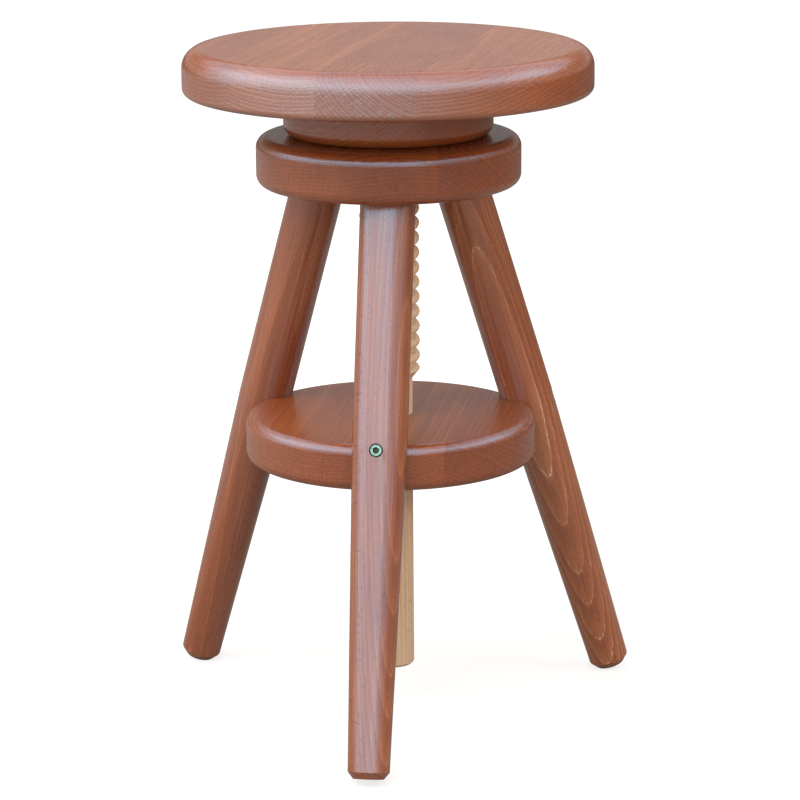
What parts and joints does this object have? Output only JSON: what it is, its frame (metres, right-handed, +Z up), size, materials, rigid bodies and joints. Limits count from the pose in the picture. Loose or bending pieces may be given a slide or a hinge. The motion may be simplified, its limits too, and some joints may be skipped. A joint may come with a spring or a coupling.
{
  "type": "screw stool",
  "caption": "Round wooden stool on splayed turned legs, with a seat that turns up and down on a wooden screw through the hub and a round shelf that braces the legs.",
  "frame": {"origin": "on the spindle axis at floor level", "axes": "+Z up along the spindle, front leg toward -Y, +X to the right seen from the front"},
  "size_m": [0.3951, 0.3954, 0.565],
  "materials": {
    "stained_beech": "gloss lacquer",
    "plain_beech": "unfinished",
    "zinc_steel": "zinc plated"
  },
  "bodies": {
    "frame": {"hub_stave_1": "stained_beech", "hub_stave_2": "stained_beech", "hub_stave_3": "stained_beech", "leg_front": "stained_beech", "leg_right": "stained_beech", "leg_left": "stained_beech", "shelf_stave_1": "stained_beech", "shelf_stave_2": "stained_beech", "shelf_stave_3": "stained_beech", "bolt_front": "zinc_steel", "bolt_right": "zinc_steel", "bolt_left": "zinc_steel", "insert_front": "zinc_steel", "insert_right": "zinc_steel", "insert_left": "zinc_steel"},
    "lift": {"spindle_screw": "zinc_steel"},
    "seat": {"seat_stave_1": "stained_beech", "seat_stave_2": "stained_beech", "seat_stave_3": "stained_beech", "seat_stave_4": "stained_beech", "seat_boss": "stained_beech", "spindle": "plain_beech", "boss_screws": "zinc_steel"}
  },
  "joints": [
    {"name": "seat_lift", "type": "slide", "parent": "frame", "child": "lift", "axis": [0, 0, 1], "range_m": [0, 0.15]},
    {"name": "seat_turn", "type": "hinge", "parent": "lift", "child": "seat", "pos_m": [0, 0, 0.5], "axis": [0, 0, 1], "range_deg": [0, 4320]}
  ],
  "couplings": [
    {"joint": "seat_lift", "follows": "seat_turn", "m_per_rad": 0.0019894}
  ]
}
